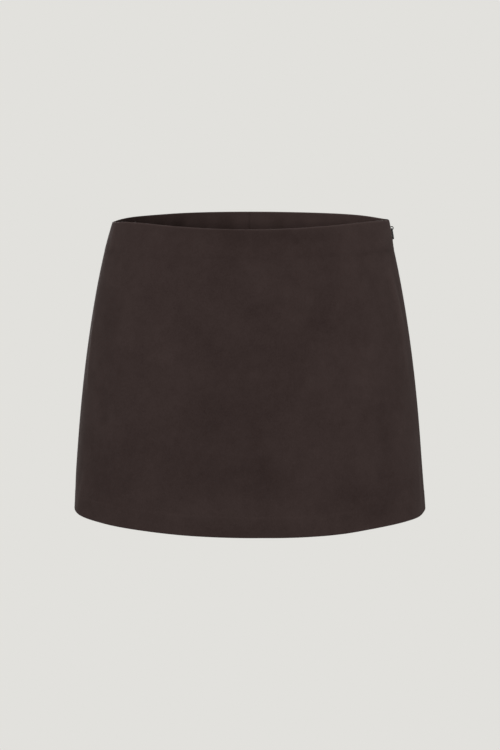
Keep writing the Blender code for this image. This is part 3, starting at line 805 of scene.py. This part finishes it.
def shorts_panel(name, node, side, half):
    """A quarter of the shorts, with its seams sunk in and its leg's hem turned up."""
    drop = SHORTS_ROWS[:, None]
    shares = panel_shares(SHORTS_WIDTH, SHORTS_STEP)
    sunk = SHORTS_SEAM_DEPTH * bell(from_seams(shares, SHORTS_WIDTH) / SHORTS_SEAM_SOFTNESS)
    hemmed = ease((drop - SHORTS_LENGTH + LEG_HEM + LEG_HEM_EDGE / 2) / LEG_HEM_EDGE)
    rounded = ROUNDED_BY * ease((drop - SHORTS_LENGTH + ROUNDED_WIDTH) / ROUNDED_WIDTH)
    clouds = JERSEY_CLOUDS * np.sin(shares * CLOUDS_ACROSS + side) * np.sin(drop / CLOUDS_DOWN + half)
    lies = JERSEY_LIES + clouds - LEG_HEM_SHADE * hemmed * (1 - rounded)
    cloth = np.stack([shares * SHORTS_WIDTH * MM + 0 * drop, drop * MM + 0 * shares, lies], -1)
    faces = []
    for inset in (sunk + rounded - LEG_HEM_OUT * hemmed, JERSEY + LEG_HEM_IN * hemmed - rounded):
        grid = np.concatenate([shorts_point(side, half, shares, drop, inset), cloth], -1)
        faces.append(grid[:, ::-1] if side * half < 0 else grid)
    piece = cloth_mesh(name, [faces], (jersey, jersey, jersey))
    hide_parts(node)


shorts_panel("shorts_left_front", "shorts_front_left", 1, 1)
shorts_panel("shorts_right_front", "shorts_front_right", -1, 1)
shorts_panel("shorts_left_back", "shorts_back_left", 1, -1)
shorts_panel("shorts_right_back", "shorts_back_right", -1, -1)

# ------------------------------ the zip's tapes
# Two dark woven tapes of an invisible zip, 1 mm thick at the teeth, sewn flat behind the edges of the left side
# seam. The shorts are sewn to them inside.
TAPE_FACES = (1.5, 2.5)
TAPE_ROWS = spaced((1, 0.5), (178.5, 2.0), (179.6, 0.5), (ZIP_LENGTH, 0.4))
TAPE_COLUMNS = np.array([TAPE_START, 3.5, 4.2, 5.6, 7.2, 8.8, 10.2, 10.8, TAPE_END])

# The tape is thicker beside the teeth, out to these distances from the seam. How light it lies changes along it.
TAPE_SWELL, SWELL_END, SWELL_GONE = 0.25, 4.0, 4.6
TAPE_LIES, TAPE_CLOUDS, TAPE_CLOUDS_DOWN = 0.5, 0.1, 13


def make_weave():
    """Tape woven in a herringbone."""
    group, given, out, place, split = new_cloth_group("herringbone", {"Thread": 0.55, "Rib": 2.6})
    zigzag = math_node(group, "PINGPONG", split["X"], given["Rib"])
    slope = math_node(group, "DIVIDE", math_node(group, "ADD", zigzag, split["Y"]), given["Thread"])
    twill = math_node(group, "SINE", math_node(group, "MULTIPLY", slope, 2 * math.pi))
    fuzz = noise(group, place, scale=1.6, detail=2.0)
    group.links.new(math_node(group, "MULTIPLY_ADD", twill, 0.5, fuzz), out["Height"])
    group.links.new(math_node(group, "MULTIPLY_ADD", twill, 0.25, fuzz), out["Shade"])
    return group


tape_paint = make_cloth_paint(
    "zip_tape_weave", make_weave(), (0.007, 0.006, 0.006), (0.019, 0.016, 0.0155),
    roughness=0.85, relief=0.6, sheen=0.03,
)


def zip_tape(name, node, side):
    """One tape. side is 1 behind the seam and -1 in front of it."""
    drop = TAPE_ROWS[:, None]
    reach = TAPE_COLUMNS[::side]
    swell = np.interp(reach, [SWELL_END, SWELL_GONE], [TAPE_SWELL, 0])
    turns = turn_beside(LEFT_SIDE, reach * side, drop)
    near, far = TAPE_FACES
    lies = TAPE_LIES + TAPE_CLOUDS * np.sin(drop / TAPE_CLOUDS_DOWN)
    faces = [
        on_cloth(skirt_point(turns, drop, near), turns, drop, lies),
        on_cloth(skirt_point(turns, drop, far - TAPE_SWELL + swell), turns, drop, lies),
    ]
    piece = cloth_mesh(name, [faces], (tape_paint, tape_paint, tape_paint))
    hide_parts(node)


zip_tape("front_tape", "zip_tape_front", -1)
zip_tape("back_tape", "zip_tape_back", 1)

# ------------------------------ the zip's teeth
# Two coils of dark nylon, one on each tape, that hook into each other along the seam below the slider. Each is one
# wire, wound round and round.
CHAIN_START, CHAIN_TOP_GAP, CHAIN_END_GAP = 15.5, 0.4, 1
COIL_PITCH, COIL_WIRE = 1.2, 0.27
COIL_STEPS = 14
COIL_MIDDLE, COIL_HALF_WIDTH = 1.25, 1.38
COIL_DEPTH, COIL_HALF_DEPTH = 2.3, 0.53
TUBE_SIDES = 6


def tube_mesh(name, paths, references, thickness, paint):
    """Tubes along many paths of the same count of points, as one mesh. thickness is the radius along a path."""
    paths = np.asarray(paths)
    along = np.gradient(paths, axis=1)
    across = np.cross(along, references)
    across /= np.linalg.norm(across, axis=-1, keepdims=True)
    over = np.cross(across, along)
    over /= np.linalg.norm(over, axis=-1, keepdims=True)
    angles = np.arange(TUBE_SIDES) * 2 * math.pi / TUBE_SIDES
    ring = np.cos(angles)[:, None] * across[..., None, :] + np.sin(angles)[:, None] * over[..., None, :]
    corners = paths[..., None, :] + ring * np.broadcast_to(thickness, paths.shape[1])[:, None, None]
    count, steps = paths.shape[:2]
    number = np.arange(count * steps * TUBE_SIDES).reshape(count, steps, TUBE_SIDES)
    after = np.roll(number, -1, axis=2)
    walls = np.stack([number[:, :-1], after[:, :-1], after[:, 1:], number[:, 1:]], -1).reshape(-1, 4).tolist()
    caps = number[:, 0, ::-1].tolist() + number[:, -1].tolist()
    mesh = bpy.data.meshes.new(name)
    mesh.from_pydata(corners.reshape(-1, 3).tolist(), [], walls + caps)
    mesh.materials.append(paint)
    mesh.shade_smooth()
    piece = add_object(name, mesh)
    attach(piece, "skort")
    return piece


def make_wear():
    """Small dull and shiny patches with fine scratches, for hard parts."""
    group, given, out = new_group("hard wear", {"Patch": 420.0, "Scratch": 2600.0}, ("Shade", "Relief"))
    drawn = add_node(group, "VectorMath", {0: given["Vector"], 1: (1.0, 1.0, 0.12)}, operation="MULTIPLY")
    group.links.new(noise(group, given["Vector"], given["Patch"], detail=3.0), out["Shade"])
    group.links.new(noise(group, drawn.outputs[0], given["Scratch"], detail=2.0), out["Relief"])
    return group


wear_group = make_wear()


def make_hard_paint(name, dark, light, dull, bright, coat, relief):
    """A hard part in two shades. dull and bright are the roughness where it is least and most worn."""
    material, tree, shader = new_paint(name)
    place = add_node(tree, "TexCoord").outputs["Object"]
    worn = use_group(tree, wear_group, {"Vector": place})
    rough = math_node(tree, "MULTIPLY_ADD", worn["Shade"], bright - dull, dull)
    lay_paint(tree, shader, worn["Shade"], dark, light, rough, worn["Relief"], relief, distance=0.00005)
    shader.inputs["Specular IOR Level"].default_value = 0.18
    shader.inputs["Coat Weight"].default_value = coat
    shader.inputs["Coat Roughness"].default_value = 0.25
    return material


nylon = make_hard_paint(
    "zip_coil_nylon", (0.008, 0.007, 0.007), (0.016, 0.014, 0.0135), dull=0.5, bright=0.36, coat=0.0, relief=0.2
)
turns_of_coil = int((ZIP_LENGTH - CHAIN_START - CHAIN_END_GAP) / COIL_PITCH)
wound = np.linspace(0, 2 * math.pi * turns_of_coil, turns_of_coil * COIL_STEPS + 1)
coils = []
for side, half_a_pitch in ((1, 0.0), (-1, 0.5)):
    drop = CHAIN_START + CHAIN_TOP_GAP + COIL_PITCH * (wound / (2 * math.pi) + half_a_pitch)
    reach = side * (COIL_MIDDLE + COIL_HALF_WIDTH * np.cos(wound))
    depth = COIL_DEPTH + COIL_HALF_DEPTH * np.sin(wound)
    coils.append(skirt_point(turn_beside(LEFT_SIDE, reach, drop), drop, depth))
teeth = tube_mesh("zip_teeth", coils, (0, 0, 1), COIL_WIRE * MM, nylon)
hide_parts("zip_chain")

# ------------------------------ the slider and pull
# A small cast slider near the top of the zip, with its bail standing out of the seam, and a flat teardrop tab that
# swings on the bail. Both are enamelled satin black.
enamel = make_hard_paint(
    "black_enamel", (0.003, 0.0027, 0.0027), (0.007, 0.0063, 0.0062), dull=0.46, bright=0.34, coat=0.04, relief=0.12
)
for node in ("zip_slider", "zip_pull"):
    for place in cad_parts[node].material_slots:
        place.material = enamel

# ------------------------------ the stitches
# Dark brown polyester thread: the leg hems' twin rows, the row that joins the shorts to the facing, the rows that
# hold the zip's tapes, and small catch stitches along the top of the turned-up hem.
THREAD = 0.22

# Along a stitch: how far it stands out of the cloth, and how thick it is, as shares of the thread's radius.
STITCH_ARCH = np.array([-1.3, 0.1, 0.7, 0.7, 0.1, -1.3])
STITCH_TAPER = np.array([0.6, 0.95, 1, 1, 0.95, 0.6])


def make_thread():
    """Twisted thread, with its shine broken by the twist."""
    material, tree, shader = new_paint("thread")
    place = add_node(tree, "TexCoord").outputs["Object"]
    worn = use_group(tree, wear_group, {"Vector": place, "Patch": 900.0, "Scratch": 4200.0})
    dark, light = (0.028, 0.020, 0.018), (0.060, 0.043, 0.039)
    rough = math_node(tree, "MULTIPLY_ADD", worn["Relief"], -0.2, 0.72)
    lay_paint(tree, shader, worn["Shade"], dark, light, rough, worn["Relief"], strength=0.5, distance=0.0001)
    shader.inputs["Sheen Weight"].default_value = 0.1
    return material


thread_paint = make_thread()


def stitch_row(line, outward, length, gap, slant=0.0):
    """Stitches along a line on the cloth: their paths, arched out of it, and which way is out. A slanted stitch
    starts above the line and ends below it."""
    reach = np.append(0, np.cumsum(np.linalg.norm(np.diff(line, axis=0), axis=1)))
    count = int(reach[-1] / ((length + gap) * MM))
    share = np.linspace(0, 1, len(STITCH_ARCH))
    at = (np.arange(count)[:, None] + 0.5) * reach[-1] / count + (share - 0.5) * length * MM
    points = np.stack([np.interp(at, reach, line[:, axis]) for axis in range(3)], -1)
    out = np.stack([np.interp(at, reach, outward[:, axis]) for axis in range(3)], -1)
    arch = STITCH_ARCH[:, None] * THREAD * MM
    return points + out * arch + np.array((0, 0, slant * MM)) * (0.5 - share)[:, None], out


def sew(name, rows):
    """All the stitches of some rows, as one piece."""
    paths, references = (np.concatenate(parts) for parts in zip(*rows))
    piece = tube_mesh(name, paths, references, THREAD * MM * STITCH_TAPER, thread_paint)


def outward_of(line, facing_in=False):
    """Level directions square to a line, away from the wearer or towards them."""
    along = np.gradient(line, axis=0)
    out = np.stack([along[:, 1], -along[:, 0], 0 * along[:, 0]], -1)
    out /= np.linalg.norm(out, axis=1, keepdims=True)
    return -out if facing_in else out


# Rows of stitches: where each lies, how long its stitches and their gaps are, and how far a catch stitch slants.
LEG_ROWS, LEG_STITCH = (LEG_HEM - 3.6, LEG_HEM - 1.2), (2.3, 0.7)
JOIN_DROP, JOIN_STITCH = FACING_DEPTH + 3.2, (2.4, 0.8)
SHORTS_ROW = np.linspace(0.008, 0.992, 160)
TAPE_REACH, TAPE_STITCH = 8.2, (2.2, 0.8)
TAPE_ROW = np.linspace(2, ZIP_LENGTH - 2, 120)
CATCH_DROP, CATCH_STITCH = LENGTH - HEM_TURN_UP + 0.6, (2.6, 5.2, 2.4)
CATCH_CLEAR, CATCH_POINTS = 0.012, 240
hem_rows, join_rows = [], []
for side in (1, -1):
    for half in (1, -1):
        across = SHORTS_ROW[:: side * half]
        for above in LEG_ROWS:
            line = shorts_point(side, half, across, SHORTS_LENGTH - above, -LEG_HEM_OUT)
            hem_rows.append(stitch_row(line, outward_of(line), *LEG_STITCH))
        line = shorts_point(side, half, across, JOIN_DROP, JERSEY)
        join_rows.append(stitch_row(line, outward_of(line, True), *JOIN_STITCH))
sew("leg_hem_stitches", hem_rows)
sew("waist_join_stitches", join_rows)

tape_rows = []
for side in (-1, 1):
    line = skirt_point(turn_beside(LEFT_SIDE, side * TAPE_REACH, TAPE_ROW), TAPE_ROW, TAPE_FACES[1] - TAPE_SWELL)
    tape_rows.append(stitch_row(line, np.tile((-1.0, 0, 0), (len(line), 1)), *TAPE_STITCH))
sew("tape_stitches", tape_rows)

catch_rows = []
for first, last in (FRONT_SEAMS, LEFT_BACK_SEAMS, RIGHT_BACK_SEAMS):
    turns = np.linspace(first + CATCH_CLEAR, last - CATCH_CLEAR, CATCH_POINTS)
    line = skirt_point(turns, CATCH_DROP, 2 * SUEDE + SEAM_GAP)
    catch_rows.append(stitch_row(line, outward_of(line, True), *CATCH_STITCH))
sew("hem_catch_stitches", catch_rows)

# ------------------------------ the studio
# A plain pale floor far below and a pale surround of the same shade, lit by soft lamps: a wide low one in front,
# one at each side that catches the cloth's edges, one overhead, one under the hem, a weak one low in front and two
# behind.
PALE = (0.7605, 0.7529, 0.7230, 1)
FLOOR_LEVEL, FLOOR_RADIUS, FLOOR_CORNERS = -2.6, 14.0, 64
SURROUND_LIGHT = 0.22
MIDDLE_LEVEL = -0.16

world = bpy.data.worlds.new("pale surround")
world.use_nodes = True
bpy.context.scene.world = world
tree = world.node_tree
tree.nodes.clear()
seen = add_node(tree, "LightPath").outputs["Is Camera Ray"]
strength = add_node(tree, "Mix", {"Factor": seen, "A": SURROUND_LIGHT, "B": 1.0}, data_type="FLOAT").outputs[0]
shine = add_node(tree, "Background", {"Color": PALE, "Strength": strength})
tree.links.new(shine.outputs[0], add_node(tree, "OutputWorld").inputs[0])

floor_paint = bpy.data.materials.new("pale_floor")
floor_paint.use_nodes = True
tree = floor_paint.node_tree
tree.nodes.clear()
seen = add_node(tree, "LightPath").outputs["Is Camera Ray"]
flat_shade = add_node(tree, "Emission", {"Color": PALE, "Strength": 1.0})
matt = add_node(tree, "BsdfDiffuse", {"Color": PALE})
both = add_node(tree, "MixShader", {0: seen, 1: matt.outputs[0], 2: flat_shade.outputs[0]})
tree.links.new(both.outputs[0], add_node(tree, "OutputMaterial").inputs[0])

around = np.arange(FLOOR_CORNERS) * 2 * math.pi / FLOOR_CORNERS
rim = np.stack([np.cos(around) * FLOOR_RADIUS, np.sin(around) * FLOOR_RADIUS, 0 * around + FLOOR_LEVEL], -1)
floor_mesh = bpy.data.meshes.new("floor")
floor_mesh.from_pydata(rim.tolist(), [], [list(range(FLOOR_CORNERS))])
floor_mesh.materials.append(floor_paint)
floor = add_object("floor", floor_mesh)


def soft_lamp(name, around, above, away, width, tall, power):
    """A rectangular lamp this far round from the front, in degrees towards the wearer's left, and this far above
    the level of the skort's middle. It is aimed at that middle."""
    lamp = add_object(name, bpy.data.lights.new(name, "AREA"))
    lamp.data.shape = "RECTANGLE"
    lamp.data.size, lamp.data.size_y = width, tall
    lamp.data.energy = power
    turn, tip = math.radians(around), math.radians(above)
    lamp.location = (
        away * math.sin(turn) * math.cos(tip),
        -away * math.cos(turn) * math.cos(tip),
        away * math.sin(tip) + MIDDLE_LEVEL,
    )
    lamp.rotation_euler = (math.pi / 2 - tip, 0, turn)


soft_lamp("key", -6, 8, 2.2, 1.0, 0.32, 28.5)
soft_lamp("right_fill", 80, -6, 2.2, 0.8, 1.0, 26)
soft_lamp("left_side", -88, -4, 2.2, 0.6, 1.0, 19)
soft_lamp("top", 0, 84, 2.0, 1.2, 0.9, 30)
soft_lamp("low", -4, -38, 2.2, 1.0, 0.5, 2.4)
soft_lamp("under", 180, -80, 2.0, 1.0, 1.0, 16)
soft_lamp("behind_left", 172, 8, 2.2, 1.0, 0.8, 24)
soft_lamp("behind_right", -160, 6, 2.2, 0.8, 0.8, 20)
bpy.context.scene.view_settings.view_transform = "Standard"
